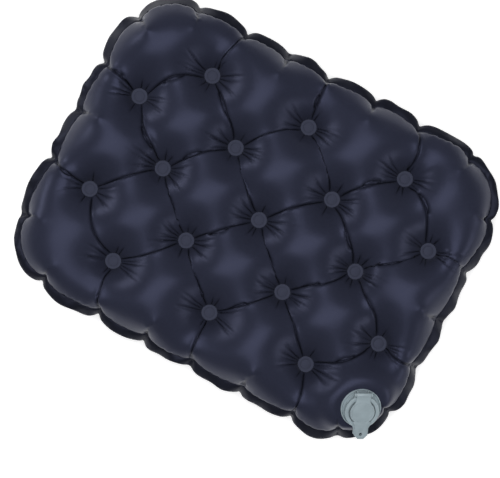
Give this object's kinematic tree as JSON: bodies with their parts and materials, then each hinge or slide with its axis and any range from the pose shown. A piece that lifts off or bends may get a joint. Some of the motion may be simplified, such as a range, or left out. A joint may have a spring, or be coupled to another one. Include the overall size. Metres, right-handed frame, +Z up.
{
  "type": "camp pillow",
  "caption": "Inflatable quilted camp pillow: two fabric sheets welded at the rim and at a staggered field of spot welds, with a two-layer flap valve near one corner.",
  "frame": {"origin": "on the ground under the middle of the pillow, at the bottom of its bounding box", "axes": "+X along the long side towards the valve's end, +Y along the short side away from the valve, +Z up, out of the valve's face"},
  "size_m": [0.42, 0.32, 0.0713],
  "materials": {
    "navy_fabric": "satin coated fine weave, dark navy",
    "welded_rim": "heat-fused, slightly glossy, dark navy",
    "weld_spot": "heat-pressed smooth disc, dark navy",
    "valve_plastic": "satin soft plastic, blue-grey",
    "silicone": "translucent milky"
  },
  "bodies": {
    "root": {"top_panel": "navy_fabric", "bottom_panel": "navy_fabric", "rim_weld": "welded_rim", "weld_spot_01": "weld_spot", "weld_spot_02": "weld_spot", "weld_spot_03": "weld_spot", "weld_spot_04": "weld_spot", "weld_spot_05": "weld_spot", "weld_spot_06": "weld_spot", "weld_spot_07": "weld_spot", "weld_spot_08": "weld_spot", "weld_spot_09": "weld_spot", "weld_spot_10": "weld_spot", "weld_spot_11": "weld_spot", "weld_spot_12": "weld_spot", "weld_spot_13": "weld_spot", "weld_spot_14": "weld_spot", "weld_spot_15": "weld_spot", "weld_spot_16": "weld_spot", "weld_spot_17": "weld_spot", "valve_base": "valve_plastic", "plug_hinge_pin": "valve_plastic"},
    "plug": {"deflate_plug": "valve_plastic", "cap_hinge_pin": "valve_plastic"},
    "cap": {"inflate_cap": "valve_plastic"},
    "diaphragm": {"check_diaphragm": "silicone"}
  },
  "joints": [
    {"name": "deflate_plug_hinge", "type": "hinge", "parent": "root", "child": "plug", "pos_m": [0.16206, -0.09673, 0.06351], "axis": [-0.8821, -0.4495, 0.1408], "range_deg": [0, 60]},
    {"name": "inflate_cap_hinge", "type": "hinge", "parent": "plug", "child": "cap", "pos_m": [0.16365, -0.09839, 0.06821], "axis": [-0.8821, -0.4495, 0.1408], "range_deg": [0, 95]},
    {"name": "diaphragm_slide", "type": "slide", "parent": "plug", "child": "diaphragm", "axis": [-0.262, 0.2198, -0.9397], "range_m": [0, 0.0012], "stiffness_N_per_m": 20, "springref_m": -0.001}
  ]
}
